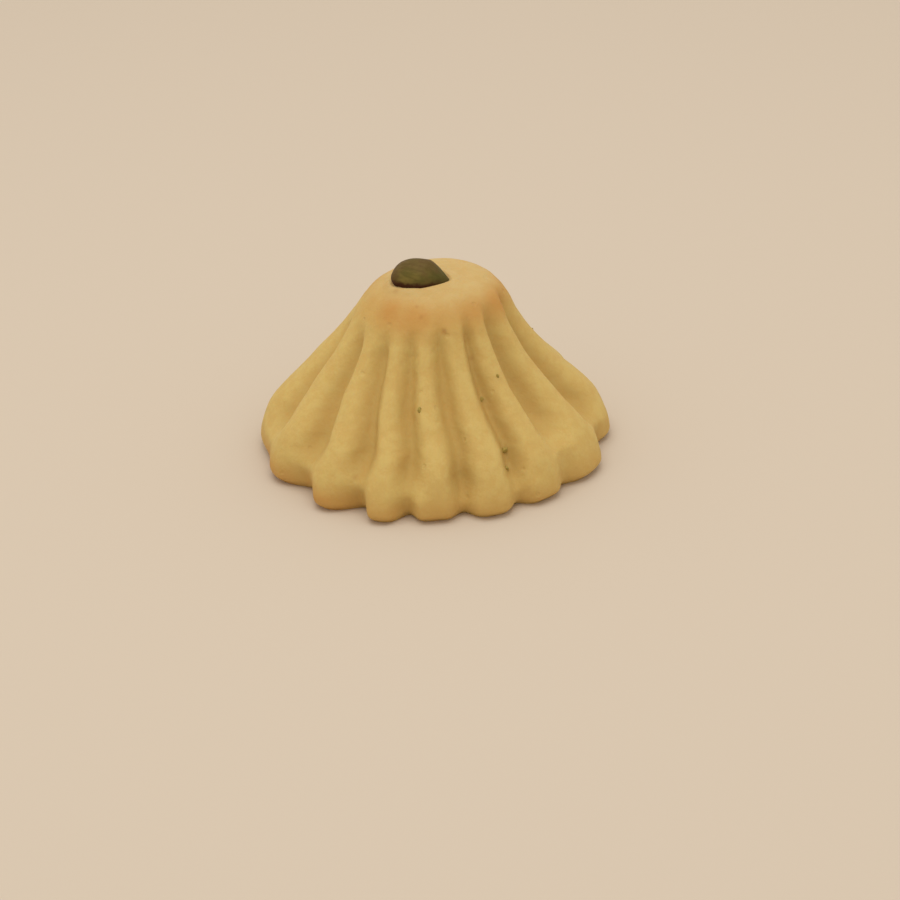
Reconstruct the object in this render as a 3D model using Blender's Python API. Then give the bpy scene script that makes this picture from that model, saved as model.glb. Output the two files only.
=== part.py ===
# Ghraybeh: a fluted cone of shortbread dough with one pistachio kernel pressed into its crown.
# Metres, +Z up. The flat foot lies on z = 0 and the front of the biscuit faces -Y.
import math

import bmesh
import bpy
from mathutils import Euler, Matrix, Vector

# Outline along a ridge, from the foot to the apex, as radius, height, depth of the broad flutes beside
# the ridge, and depth of the narrow notches between the lobes of the foot.
STATIONS = {
    "foot": (0.0322, 0.0000, 0.0030, 0.0025),
    "lip": (0.0340, 0.0024, 0.0032, 0.0026),
    "skirt": (0.0317, 0.0087, 0.0040, 0.0008),
    "flank": (0.0257, 0.0151, 0.0040, 0.0),
    "waist": (0.0198, 0.0217, 0.0032, 0.0),
    "neck": (0.0162, 0.0268, 0.0023, 0.0),
    "shoulder": (0.0141, 0.0305, 0.0015, 0.0),
    "brow": (0.0117, 0.0332, 0.0006, 0.0),
    "rim": (0.0083, 0.0350, 0.0, 0.0),
    "top": (0.0042, 0.0358, 0.0, 0.0),
    "apex": (0.0, 0.0360, 0.0, 0.0),
}
WALL_RINGS = 20
CROWN_RINGS = 7

# Ridges. Their widths at the foot are degrees of the whole turn, from the front left round to the right.
RIDGE_WIDTHS = (27.5, 23.2, 18.0, 18.4, 19.7, 20.1, 28.6, 36, 27, 21.5, 18, 18.5, 21, 26, 36.5)
FIRST_VALLEY = -77.5
COLUMN_PLACES = (-1.0, -0.88, -0.74, -0.56, -0.32, 0.0, 0.32, 0.56, 0.74, 0.88)

# The flutes run out below the crown, higher at the right than at the left.
FLUTE_END_LEFT = 0.0292
FLUTE_END_RIGHT = 0.0358
FLUTE_FADE = 0.0065

# Each valley in turn, from the one before the first ridge: the flute's depth as a share of the usual, and
# a power. A power of 1 makes ridge and flute alike, and more makes the flute narrower.
VALLEY_DEPTHS = (0.85, 0.98, 0.88, 0.82, 0.84, 0.95, 1.1, 1.25, 0.45, 0.85, 0.95, 0.85, 0.95, 0.8, 0.5)
VALLEY_POWERS = (1.5, 1.5, 1.5, 1.5, 1.5, 2.6, 1.5, 1.5, 1.5, 1.4, 1.6, 1.5, 1.7, 1.4, 1.5)

# Where each valley starts above the foot, in millimetres. It is full a little higher.
FLUTE_STARTS = (5.0, 5.0, 5.0, 4.2, 1.8, 3.2, 8.0, 5.0, 3.0, 2.0, 3.0, 2.0, 3.0, 4.0, 5.0)
FLUTE_GROWTH = 0.0055

# The notch between two lobes at each valley: its depth as a share of the usual, and one power for the lobe
# before it and one for the lobe after it. A low power lets the lobe fall away early.
NOTCH_DEPTHS = (0.45, 1.45, 1.65, 1.2, 1.05, 0.9, 0.8, 1.2, 0.6, 1.1, 0.9, 1.2, 1.0, 1.1, 0.8)
NOTCH_POWERS_BEFORE = (1.2, 0.6, 1.3, 2.4, 2.0, 2.6, 2.2, 1.2, 1.6, 1.4, 2.4, 1.2, 2.6, 1.5, 1.4)
NOTCH_POWERS_AFTER = (1.8, 0.95, 1.5, 3.5, 3.0, 3.0, 2.6, 2.4, 2.0, 3.0, 1.8, 3.5, 2.2, 3.0, 2.4)
# How far each notch stands before its valley, as a share of a ridge.
NOTCH_SHIFTS = (0.0, 0.06, 0.0, 0.07, 0.02, 0.04, 0.05, 0.0, 0.05, 0.1, 0.0, 0.1, 0.05, 0.0, 0.0)

# No two lobes reach equally far: millimetres for each ridge in turn.
LOBE_REACH = (0.1, 0.8, 1.0, -0.6, 0.1, -0.3, 0.2, 0.0, -0.5, 0.3, -0.4, 0.3, -0.5, 0.2, 0.0)
LOBE_TOP = 0.0120

# The upper ends of the ridges lean to one side, more at the left than at the right, and the axis is
# bent a little.
TWIST = math.radians(7.0)
TWIST_SPREAD = math.radians(6.5)
TWIST_FROM = 0.011
TWIST_TO = 0.0265
AXIS_BEND = 0.0006
AXIS_LEAN = 0.0015

# Pistachio kernel, lying on its side with its point to the right.
KERNEL_LENGTH = 0.0120
KERNEL_WIDTH = 0.0078
KERNEL_HEIGHT = 0.0076
KERNEL_CENTRE = Vector((-0.0012, -0.0023, 0.0353))
KERNEL_TURN = Euler((0.0, math.radians(7.0), math.radians(-17.0)))
BLUNT_FULLNESS = 3.4
POINT_FULLNESS = 1.2
KERNEL_RINGS = 18
KERNEL_SIDES = 24
SEAT_GAP = 0.0003

# Dough pushed up beside the kernel.
RIM_HEIGHT = 0.00035
RIM_WIDTH = 0.0012


def clear_scene():
    for item in list(bpy.data.objects):
        bpy.data.objects.remove(item, do_unlink=True)


def smooth_step(edge0, edge1, value):
    t = min(max((value - edge0) / (edge1 - edge0), 0.0), 1.0)
    return t * t * (3.0 - 2.0 * t)


def profile(at):
    """Radius, height, flute depth and notch depth on a smooth curve through the stations. 0 is the foot."""
    points = [Vector(s) for s in STATIONS.values()]
    foot = 2.0 * points[0] - points[1]
    over = Vector((-points[-2][0], *points[-2][1:]))
    points = [foot, *points, over]
    k = min(int(at), len(points) - 4)
    t = at - k
    a, b, c, d = points[k : k + 4]
    curve = 2 * b + (c - a) * t + (2 * a - 5 * b + 4 * c - d) * t**2 + (3 * b - a - 3 * c + d) * t**3
    radius, height, flute, notch = 0.5 * curve
    return radius, height, max(flute, 0.0), max(notch, 0.0)


def column_angle(ridge, place, height):
    """The angle of a column of points, which follows its ridge up the wall."""
    left = FIRST_VALLEY + sum(RIDGE_WIDTHS[:ridge])
    angle = math.radians(left + RIDGE_WIDTHS[ridge] * 0.5 * (1.0 + place))
    up = max(height - TWIST_FROM, 0.0) / (TWIST_TO - TWIST_FROM)
    return angle - (TWIST - TWIST_SPREAD * math.sin(angle)) * up


def axis_shift(height):
    """The axis bends a little to one side and then leans over at the top."""
    share = height / STATIONS["apex"][1]
    return AXIS_LEAN * share**2 - AXIS_BEND * math.sin(math.pi * share)


def rim_lift(x, y):
    """How far the dough is pushed up beside the kernel."""
    local = KERNEL_TURN.to_matrix().inverted() @ Vector((x - KERNEL_CENTRE.x, y - KERNEL_CENTRE.y, 0.0))
    a = 0.5 * KERNEL_LENGTH
    b = 0.5 * KERNEL_WIDTH
    away = (math.hypot(local.x / a, local.y / b) - 1.0) * 0.5 * (a + b)
    return RIM_HEIGHT * math.exp(-((away / RIM_WIDTH) ** 2))


def between(table, at):
    """Reads a table that runs round the body, with straight lines between its values."""
    low = math.floor(at)
    first = table[low % len(table)]
    return first + (table[(low + 1) % len(table)] - first) * (at - low)


def carving(ridge, place, angle, height, flute, notch):
    """How far the flute and the notch beside a ridge cut into the body at a place across the ridge."""
    at = ridge + 0.5 * (1.0 + place)
    end = 0.5 * (FLUTE_END_LEFT + FLUTE_END_RIGHT)
    end += 0.5 * (FLUTE_END_RIGHT - FLUTE_END_LEFT) * math.sin(angle)
    flute *= 1.0 - smooth_step(end - FLUTE_FADE, end, height)
    start = 0.001 * between(FLUTE_STARTS, at)
    flute *= smooth_step(start, start + FLUTE_GROWTH, height)
    wave = 0.5 - 0.5 * math.cos(math.pi * place)
    cut = flute * between(VALLEY_DEPTHS, at) * wave ** between(VALLEY_POWERS, at)
    at += between(NOTCH_SHIFTS, at)
    beside = at - math.floor(at) - 0.5
    power = between(NOTCH_POWERS_BEFORE if beside > 0.0 else NOTCH_POWERS_AFTER, at)
    swell = 0.5 - 0.5 * math.cos(math.tau * beside)
    return cut + notch * between(NOTCH_DEPTHS, at) * swell**power


def lobe_reach(ridge, place, height):
    """How much farther than usual the foot reaches, between the middles of two ridges."""
    reach = between(LOBE_REACH, ridge + 0.5 * place)
    return 0.001 * reach * (1.0 - smooth_step(0.0, LOBE_TOP, height))


def surface_point(ridge, place, at):
    """A point of the outside. Angles run from the front, -Y, towards +X."""
    radius, height, flute, notch = profile(at)
    angle = column_angle(ridge, place, height)
    r = radius + lobe_reach(ridge, place, height) - carving(ridge, place, angle, height, flute, notch)
    x = axis_shift(height) + r * math.sin(angle)
    y = -r * math.cos(angle)
    lift = rim_lift(x, y) if height > STATIONS["shoulder"][1] else 0.0
    return Vector((x, y, height + lift))


def biscuit_mesh():
    """A flat foot, the fluted wall and a crown with half as many columns."""
    mesh = bmesh.new()
    places = [(ridge, place) for ridge in range(len(RIDGE_WIDTHS)) for place in COLUMN_PLACES]
    columns = len(places)
    shoulder = list(STATIONS).index("shoulder")
    apex = len(STATIONS) - 1
    rings = []
    for i in range(WALL_RINGS + 1):
        at = shoulder * i / WALL_RINGS
        rings.append([mesh.verts.new(surface_point(*place, at)) for place in places])
    for low, high in zip(rings, rings[1:]):
        for j in range(columns):
            k = (j + 1) % columns
            mesh.faces.new((low[j], low[k], high[k], high[j]))
    base = mesh.verts.new((0.0, 0.0, 0.0))
    for j in range(columns):
        mesh.faces.new((base, rings[0][(j + 1) % columns], rings[0][j]))
    half = columns // 2
    low = rings[-1]
    for i in range(1, CROWN_RINGS):
        at = shoulder + (apex - shoulder) * i / CROWN_RINGS
        high = [mesh.verts.new(surface_point(*place, at)) for place in places[::2]]
        for j in range(half):
            k = (j + 1) % half
            if len(low) == columns:
                mesh.faces.new((low[2 * j], low[2 * j + 1], high[j]))
                mesh.faces.new((low[2 * j + 1], high[k], high[j]))
                mesh.faces.new((low[2 * j + 1], low[2 * k], high[k]))
            else:
                mesh.faces.new((low[j], low[k], high[k], high[j]))
        low = high
    top = mesh.verts.new(surface_point(0, 0.0, apex))
    for j in range(half):
        mesh.faces.new((low[j], low[(j + 1) % half], top))
    return mesh


def kernel_mesh(grown):
    """The kernel as rings along its length, with every point moved outwards by the given amount."""
    mesh = bmesh.new()
    rings = []
    for i in range(1, KERNEL_RINGS):
        along = -math.cos(math.pi * i / KERNEL_RINGS)
        tall = wide = math.sqrt(1.0 - along**2)
        if along < 0.0:
            wide = (1.0 - abs(along) ** BLUNT_FULLNESS) ** (1.0 / BLUNT_FULLNESS)
        else:
            cone = min((1.0 - along) * POINT_FULLNESS, tall)
            tall = wide = tall + (cone - tall) * math.sqrt(along)
        ring = []
        for j in range(KERNEL_SIDES):
            a = math.tau * j / KERNEL_SIDES
            side = 0.5 * KERNEL_WIDTH * wide * math.cos(a)
            up = 0.5 * KERNEL_HEIGHT * tall * math.sin(a)
            ring.append(mesh.verts.new((0.5 * KERNEL_LENGTH * along, side, up)))
        rings.append(ring)
    ends = [mesh.verts.new((side * 0.5 * KERNEL_LENGTH, 0.0, 0.0)) for side in (-1.0, 1.0)]
    for j in range(KERNEL_SIDES):
        k = (j + 1) % KERNEL_SIDES
        mesh.faces.new((ends[0], rings[0][k], rings[0][j]))
        mesh.faces.new((ends[1], rings[-1][j], rings[-1][k]))
        for low, high in zip(rings, rings[1:]):
            mesh.faces.new((low[j], low[k], high[k], high[j]))
    bmesh.ops.recalc_face_normals(mesh, faces=mesh.faces)
    mesh.normal_update()
    for v, normal in [(v, v.normal.copy()) for v in mesh.verts]:
        v.co += normal * grown
    mesh.transform(Matrix.Translation(KERNEL_CENTRE) @ KERNEL_TURN.to_matrix().to_4x4())
    return mesh


def add_object(name, mesh, material=None):
    bmesh.ops.recalc_face_normals(mesh, faces=mesh.faces)
    for face in mesh.faces:
        face.smooth = True
    data = bpy.data.meshes.new(name)
    mesh.to_mesh(data)
    mesh.free()
    item = bpy.data.objects.new(name, data)
    bpy.context.scene.collection.objects.link(item)
    if material:
        data.materials.append(material)
    return item


def make_material(name, color, roughness):
    material = bpy.data.materials.new(name)
    material.use_nodes = True
    shader = material.node_tree.nodes["Principled BSDF"]
    shader.inputs["Base Color"].default_value = (*color, 1.0)
    shader.inputs["Roughness"].default_value = roughness
    return material


def main():
    clear_scene()
    dough = make_material("baked_dough", (0.62, 0.42, 0.16), 0.75)
    skin = make_material("pistachio_skin", (0.10, 0.09, 0.02), 0.5)
    biscuit = add_object("biscuit", biscuit_mesh(), dough)
    add_object("pistachio", kernel_mesh(0.0), skin)
    seat = add_object("seat_cutter", kernel_mesh(SEAT_GAP))
    seat.hide_render = True
    seat.display_type = "WIRE"
    cut = biscuit.modifiers.new("seat", "BOOLEAN")
    cut.operation = "DIFFERENCE"
    cut.solver = "EXACT"
    cut.object = seat


main()
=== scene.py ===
"""Ghraybeh: a fluted cone of butter shortbread with one pistachio kernel pressed into its crown."""

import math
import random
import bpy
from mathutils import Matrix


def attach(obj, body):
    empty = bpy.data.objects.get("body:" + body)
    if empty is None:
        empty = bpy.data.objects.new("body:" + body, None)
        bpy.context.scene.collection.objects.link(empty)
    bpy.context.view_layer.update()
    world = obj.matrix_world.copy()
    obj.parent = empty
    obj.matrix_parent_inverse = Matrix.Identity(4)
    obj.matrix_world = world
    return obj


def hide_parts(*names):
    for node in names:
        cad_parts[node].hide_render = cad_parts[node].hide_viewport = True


bl_info = {
    "name": "Ghraybeh Biscuit",
    "version": (1, 0, 0),
    "blender": (4, 5, 0),
    "location": "3D View > Sidebar > Ghraybeh",
    "description": "Builds a fluted shortbread biscuit with a pistachio kernel, and a plain studio for it",
    "category": "Object",
}

import bmesh
import bpy
from bpy.props import FloatProperty, FloatVectorProperty, IntProperty, PointerProperty
from bpy.types import Operator, Panel, PropertyGroup
from mathutils import Euler, Matrix, Vector, noise

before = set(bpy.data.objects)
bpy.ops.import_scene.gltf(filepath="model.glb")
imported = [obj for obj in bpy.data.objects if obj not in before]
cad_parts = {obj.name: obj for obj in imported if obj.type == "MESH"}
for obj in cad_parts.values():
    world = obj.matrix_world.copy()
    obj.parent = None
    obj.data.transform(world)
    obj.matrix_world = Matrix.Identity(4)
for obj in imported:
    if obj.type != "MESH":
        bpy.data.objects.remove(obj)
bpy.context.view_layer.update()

MILLIMETRE = 0.001

# Outline along a ridge, from the foot to the apex, as radius, height, depth of the broad flutes beside
# the ridge, and depth of the narrow notches between the lobes of the foot.
STATIONS = {
    "foot": (0.0322, 0.0000, 0.0030, 0.0025),
    "lip": (0.0340, 0.0024, 0.0032, 0.0026),
    "skirt": (0.0317, 0.0087, 0.0040, 0.0008),
    "flank": (0.0257, 0.0151, 0.0040, 0.0),
    "waist": (0.0198, 0.0217, 0.0032, 0.0),
    "neck": (0.0162, 0.0268, 0.0023, 0.0),
    "shoulder": (0.0141, 0.0305, 0.0015, 0.0),
    "brow": (0.0117, 0.0332, 0.0006, 0.0),
    "rim": (0.0083, 0.0350, 0.0, 0.0),
    "top": (0.0042, 0.0358, 0.0, 0.0),
    "apex": (0.0, 0.0360, 0.0, 0.0),
}
# Each valley in turn, from the one before the first ridge: the flute's depth as a share of the usual, and
# a power. A power of 1 makes ridge and flute alike, and more makes the flute narrower.
VALLEY_DEPTHS = (0.85, 0.98, 0.88, 0.82, 0.84, 0.95, 1.1, 1.25, 0.45, 0.85, 0.95, 0.85, 0.95, 0.8, 0.5)
VALLEY_POWERS = (1.5, 1.5, 1.5, 1.5, 1.5, 2.6, 1.5, 1.5, 1.5, 1.4, 1.6, 1.5, 1.7, 1.4, 1.5)
# Where each valley starts above the foot, in millimetres. It is full a little higher.
FLUTE_STARTS = (5.0, 5.0, 5.0, 4.2, 1.8, 3.2, 8.0, 5.0, 3.0, 2.0, 3.0, 2.0, 3.0, 4.0, 5.0)
FLUTE_GROWTH = 0.0055
# The notch between two lobes at each valley: its depth as a share of the usual, and one power for the lobe
# before it and one for the lobe after it. A low power lets the lobe fall away early.
NOTCH_DEPTHS = (0.45, 1.45, 1.65, 1.2, 1.05, 0.9, 0.8, 1.2, 0.6, 1.1, 0.9, 1.2, 1.0, 1.1, 0.8)
NOTCH_POWERS_BEFORE = (1.2, 0.6, 1.3, 2.4, 2.0, 2.6, 2.2, 1.2, 1.6, 1.4, 2.4, 1.2, 2.6, 1.5, 1.4)
NOTCH_POWERS_AFTER = (1.8, 0.95, 1.5, 3.5, 3.0, 3.0, 2.6, 2.4, 2.0, 3.0, 1.8, 3.5, 2.2, 3.0, 2.4)
# How far each notch stands before its valley, as a share of a ridge.
NOTCH_SHIFTS = (0.0, 0.06, 0.0, 0.07, 0.02, 0.04, 0.05, 0.0, 0.05, 0.1, 0.0, 0.1, 0.05, 0.0, 0.0)
# No two lobes reach equally far: millimetres for each ridge in turn, which fade away up to the lobe's top.
LOBE_REACH = (0.1, 0.8, 1.0, -0.6, 0.1, -0.3, 0.2, 0.0, -0.5, 0.3, -0.4, 0.3, -0.5, 0.2, 0.0)
LOBE_TOP = 0.0120
# Degrees that each ridge takes up at the foot, and where the first valley is. The front is at 0, and the
# right side at 90.
RIDGE_WIDTHS = (27.5, 23.2, 18.0, 18.4, 19.7, 20.1, 28.6, 36, 27, 21.5, 18, 18.5, 21, 26, 36.5)
FIRST_VALLEY = math.radians(-77.5)
# Flutes run out below the crown, higher at the right than at the left.
VALLEY_END_LEFT = 0.0292
VALLEY_END_RIGHT = 0.0358
VALLEY_FADE = 0.0065
# The ridges lean over from the lower height on, and have leaned over by the twist at the upper one.
TWIST_FROM = 0.011
TWIST_TO = 0.0265
# Ridges stray from their lines more and more over these heights.
WANDER_BAND = (0.002, 0.012)
# A valley this deep gets the full darker valley colour, partly a deeper baked tone and partly painted shade.
# A notch, whose darkening is painted shade in its crease, counts less than a flute.
FULL_VALLEY_SHADE = 0.0038
NOTCH_SHADE = 0.6
# Soft lumps and small dents in the dough, and the heights over which they begin above the foot's face.
LUMP_SCALE = 95.0
DENT_SCALE = 420.0
LUMP_BAND = (0.0002, 0.0026)
# Distances from the kernel over which the lip of dough round it rises and falls away again.
LIP_RISE = (0.0001, 0.0006)
LIP_FALL = (0.0006, 0.0026)
# The mesh: columns crowd towards the valleys by this power, and rings on the foot's face are shares of its
# radius.
COLUMNS_PER_RIDGE = 30
COLUMN_CROWDING = 1.3
RINGS_PER_STATION = 19
FOOT_RINGS = (0.0, 0.5, 0.8, 0.93, 0.98)
WELD_DISTANCE = 0.0000008

# Pistachio kernel, lying on its side with its point to the right.
BLUNT_FULLNESS = 3.4
POINT_FULLNESS = 1.08
# A low power makes the kernel taper soon after its middle.
POINT_POWER = 0.4
# Wrinkles in the skin: how close they stand along the kernel and across it.
CREASE_SCALE = (1.6, 3.2)
FINE_CREASE_SCALE = (3.0, 9.0)
# A seam runs low along the near side. Its depth is counted in wrinkles.
SEAM_HEIGHT = -0.34
SEAM_WIDTH = 0.07
SEAM_DEPTH = 2.6
KERNEL_RINGS = 90
KERNEL_SIDES = 96

# Heights over which the pale crown begins, the browned band of the shoulder begins and ends, and the darker
# lower edge ends; that edge is partly browned and partly painted shade where the foot meets the floor.
CROWN_BEGINS = (0.0300, 0.0350)
SHOULDER_BEGINS = (0.0262, 0.0316)
SHOULDER_ENDS = (0.0326, 0.0352)
LOWER_EDGE_ENDS = (0.0020, 0.0062)
LEAST_BROWNED = 0.25
# Where the oven browned the shoulder: centre, reach and strength. The first six face the front.
BROWNED_PATCHES = (
    ((-0.0125, -0.0058, 0.0320), 0.0090, 0.50),
    ((-0.0076, -0.0096, 0.0319), 0.0090, 0.85),
    ((-0.0036, -0.0118, 0.0318), 0.0090, 0.88),
    ((0.0018, -0.0124, 0.0320), 0.0080, 0.60),
    ((0.0072, -0.0102, 0.0320), 0.0085, 0.70),
    ((0.0129, -0.0052, 0.0314), 0.0090, 0.85),
    ((0.0135, 0.0020, 0.0316), 0.0085, 0.60),
    ((0.0080, 0.0105, 0.0318), 0.0095, 0.65),
    ((-0.0020, 0.0130, 0.0316), 0.0090, 0.50),
    ((-0.0110, 0.0070, 0.0318), 0.0095, 0.75),
)
# Where the lower edge is darkened most: partly oven browning, partly painted shade where the foot meets the
# floor.
BROWNED_AND_SHADED_EDGES = (
    ((-0.0310, -0.0110, 0.0020), 0.0150, 0.85),
    ((-0.0215, -0.0250, 0.0020), 0.0140, 0.80),
    ((-0.0100, -0.0320, 0.0020), 0.0100, 0.60),
    ((0.0000, -0.0320, 0.0020), 0.0100, 0.50),
    ((0.0200, 0.0270, 0.0010), 0.0180, 0.70),
    ((-0.0260, 0.0210, 0.0010), 0.0150, 0.80),
)

# Size of one grain in the dough and in a crumb, and how close the scattered specks could stand.
DOUGH_GRAIN = 0.00042
CRUMB_GRAIN = 0.00012
SPECK_SCALE = 260.0
# Brown spots in the dough: centre, reach and strength.
DARK_SPOTS = (
    ((0.0023, -0.0140, 0.0299), 0.0009, 0.90),
    ((-0.0027, -0.0105, 0.0336), 0.0007, 0.55),
    ((-0.0019, -0.0124, 0.0322), 0.0007, 0.55),
    ((0.0071, -0.0139, 0.0242), 0.0008, 0.70),
    ((0.0066, -0.0127, 0.0273), 0.0008, 0.60),
    ((-0.0064, -0.0056, 0.0345), 0.0010, 0.45),
    ((-0.0150, -0.0267, 0.0070), 0.0011, 0.60),
    ((-0.0158, -0.0278, 0.0055), 0.0010, 0.60),
)

# Crumbs of pistachio that stuck to the dough: a point beside the spot where each one sits, and its size.
STUCK_CRUMBS = (
    ((-0.0028, -0.0222, 0.0180), 0.00115),
    ((0.0119, -0.0161, 0.0214), 0.00090),
    ((0.0090, -0.0178, 0.0176), 0.00110),
    ((0.0127, -0.0234, 0.0098), 0.00170),
    ((0.0135, -0.0258, 0.0075), 0.00130),
)

# A crumb's width and height as shares of its length.
CRUMB_WIDTH = 0.7
CRUMB_HEIGHT = 0.55

FLOOR_REACH = 3.0
LIGHT_SIZE = 0.6
LIGHT_PLACE = (-0.05, -0.05, 0.75)

# Camera, from the photograph: pitch and roll, the pixel at the centre of the foot, the focal length in
# pixels of a picture 900 wide, and the size of a pixel at the foot.
SENSOR_WIDTH = 36.0
PICTURE = 900
FOCAL_PIXELS = 2600
PIXEL_SIZE = 0.00019371
CAMERA_PITCH = math.radians(27.6)
CAMERA_ROLL = math.radians(2.0)
FOOT_PIXEL = (436.3, 441.0)


def colour(name, text, value):
    return FloatVectorProperty(
        name=name, description=text, default=value, size=3, min=0.0, max=1.0, subtype="COLOR"
    )


def length(name, text, value):
    return FloatProperty(name=name, description=text, default=value, unit="LENGTH", precision=4)


def turn(name, text, degrees):
    return FloatProperty(name=name, description=text, default=math.radians(degrees), unit="ROTATION")


def share(name, text, value):
    return FloatProperty(name=name, description=text, default=value, min=0.0, max=4.0, subtype="FACTOR")


class BiscuitSettings(PropertyGroup):
    valley_depth: share("Valley depth", "Depth of the valleys, as a share of the usual", 1.0)
    twist: turn("Twist", "How far the upper ends of the ridges lean over", 7.0)
    twist_spread: turn("Twist spread", "How much more the left ridges lean than the right ones", 6.5)
    lean: length("Lean", "How far the apex stands to the right of the foot", 0.0015)
    bend: length("Bend", "How far the middle of the axis bows to the left", 0.0006)
    unevenness: length("Unevenness", "Height of the soft lumps that hands left in the dough", 0.00045)
    wander: turn("Wander", "How far the ridges stray from smooth lines", 0.9)
    lip: length("Lip", "How high the dough is pushed up round the kernel", 0.00035)
    seed: IntProperty(name="Seed", description="Another number gives another biscuit", default=7)


class DoughSettings(PropertyGroup):
    crest: colour("Crest", "Dough on the ridges", (0.615, 0.445, 0.146))
    # Valley: darker dough for the valleys and notches, partly a deeper baked tone and partly painted shade.
    valley: colour("Valley", "Dough in the valleys", (0.515, 0.345, 0.102))
    crown: colour("Crown", "Pale dough round the kernel", (0.585, 0.415, 0.165))
    browned: colour("Browned", "Dough that the oven has browned", (0.53, 0.26, 0.062))
    speck: colour("Speck", "Little dark specks", (0.34, 0.13, 0.03))
    # Browning also scales the painted shade on the lower edge.
    browning: share("Browning", "How strongly the shoulder and the foot are browned", 1.0)
    grain: share("Grain", "How strongly the crumb shows", 1.0)


class KernelSettings(PropertyGroup):
    length: length("Length", "Length of the kernel", 0.0120)
    width: length("Width", "Width of the kernel", 0.0078)
    height: length("Height", "Thickness of the kernel", 0.0076)
    centre: FloatVectorProperty(
        name="Centre", description="Middle of the kernel", default=(-0.0012, -0.0023, 0.0353), subtype="XYZ"
    )
    turned: FloatVectorProperty(
        name="Turn",
        description="How the kernel lies",
        default=(0.0, math.radians(7.0), math.radians(-17.0)),
        subtype="EULER",
    )
    wrinkles: length("Wrinkles", "Depth of the wrinkles in the skin", 0.00009)
    green: colour("Green", "Flesh that shows through the skin", (0.175, 0.132, 0.030))
    deep: colour("Deep green", "Darker flesh towards the point", (0.078, 0.066, 0.013))
    skin: colour("Skin", "Brown skin at the blunt end", (0.110, 0.062, 0.018))
    # Edge: dark reddish colour along the line where the kernel enters the dough.
    edge: colour("Edge", "Dark reddish skin where the kernel enters the dough", (0.050, 0.016, 0.006))


class CrumbSettings(PropertyGroup):
    extra: IntProperty(name="Extra", description="Crumbs on the sides that face away", default=6, min=0)
    seed: IntProperty(name="Seed", description="Moves the extra crumbs", default=3)
    green: colour("Green", "Ground pistachio", (0.45, 0.335, 0.065))


class StudioSettings(PropertyGroup):
    floor: colour("Floor", "Plain pale floor", (0.62, 0.53, 0.425))
    sky: colour("Sky", "Light from all round", (1.0, 0.93, 0.84))
    sky_strength: share("Sky strength", "How bright the light from all round is", 0.80)
    key_power: FloatProperty(
        name="Key power", description="Power of the soft light", default=2.2, unit="POWER"
    )


class Wires:
    """Adds nodes to one tree and joins them. A value is another node's socket or a plain setting."""

    def __init__(self, tree):
        self.tree = tree

    def join(self, socket, value):
        if isinstance(value, bpy.types.NodeSocket):
            self.tree.links.new(value, socket)
        else:
            socket.default_value = value

    def add(self, kind, inputs=None, **settings):
        item = self.tree.nodes.new(kind)
        for name, value in settings.items():
            setattr(item, name, value)
        for key, value in (inputs or {}).items():
            self.join(item.inputs[key], value)
        return item

    def math(self, operation, *values):
        return self.add("ShaderNodeMath", dict(enumerate(values)), operation=operation).outputs[0]

    def span(self, value, low, high, start=0.0, end=1.0):
        """The value's place between low and high, as a number that goes smoothly from start to end."""
        inputs = {"Value": value, "From Min": low, "From Max": high, "To Min": start, "To Max": end}
        return self.add("ShaderNodeMapRange", inputs, interpolation_type="SMOOTHSTEP").outputs[0]

    def mix(self, factor, first, second):
        """A colour between two. Each is another node's socket or three numbers."""
        item = self.add("ShaderNodeMix", data_type="RGBA")
        for socket, value in zip((item.inputs[0], item.inputs[6], item.inputs[7]), (factor, first, second)):
            if isinstance(value, tuple):
                value = (*value, 1.0)
            self.join(socket, value)
        return item.outputs[2]

    def noise(self, vector, scale, detail=2.0, roughness=0.5):
        inputs = {"Vector": vector, "Scale": scale, "Detail": detail, "Roughness": roughness}
        return self.add("ShaderNodeTexNoise", inputs).outputs[0]

    def combine(self, x=0.0, y=0.0, z=0.0):
        return self.add("ShaderNodeCombineXYZ", {"X": x, "Y": y, "Z": z}).outputs[0]

    def separate(self, vector):
        return self.add("ShaderNodeSeparateXYZ", {0: vector}).outputs

    def scaled(self, vector, factor):
        return self.add("ShaderNodeVectorMath", {0: vector, "Scale": factor}, operation="SCALE").outputs[0]

    def stored(self, name):
        """The number that each point of a mesh keeps under this name."""
        item = self.add("GeometryNodeInputNamedAttribute", {"Name": name}, data_type="FLOAT")
        return item.outputs["Attribute"]


def profile(at):
    """Radius, height, flute depth and notch depth on a smooth curve through the stations. 0 is the foot."""
    points = [Vector(s) for s in STATIONS.values()]
    foot = 2.0 * points[0] - points[1]
    over = Vector((-points[-2][0], *points[-2][1:]))
    points = [foot, *points, over]
    k = min(int(at), len(points) - 4)
    t = at - k
    a, b, c, d = points[k : k + 4]
    curve = 2 * b + (c - a) * t + (2 * a - 5 * b + 4 * c - d) * t**2 + (3 * b - a - 3 * c + d) * t**3
    radius, height, flute, notch = 0.5 * curve
    return max(radius, 0.0), height, max(flute, 0.0), max(notch, 0.0)


def new_socket(tree, name, kind, direction="INPUT", value=None):
    socket = tree.interface.new_socket(name=name, in_out=direction, socket_type=kind)
    if value is not None:
        socket.default_value = value
    return socket


def evaluated_piece(source, name):
    """A plain mesh object of what the modifiers on the source make. The source is removed."""
    graph = bpy.context.evaluated_depsgraph_get()
    mesh = bpy.data.meshes.new_from_object(source.evaluated_get(graph))
    mesh.name = name
    bpy.data.objects.remove(source, do_unlink=True)
    piece = bpy.data.objects.new(name, mesh)
    bpy.context.scene.collection.objects.link(piece)
    return piece


def use_tree(item, tree, values):
    """Puts a Geometry Nodes tree on an object with these values for its inputs."""
    modifier = item.modifiers.new(tree.name, "NODES")
    modifier.node_group = tree
    for socket in tree.interface.items_tree:
        if socket.in_out == "INPUT" and socket.name in values:
            modifier[socket.identifier] = values[socket.name]


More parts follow.
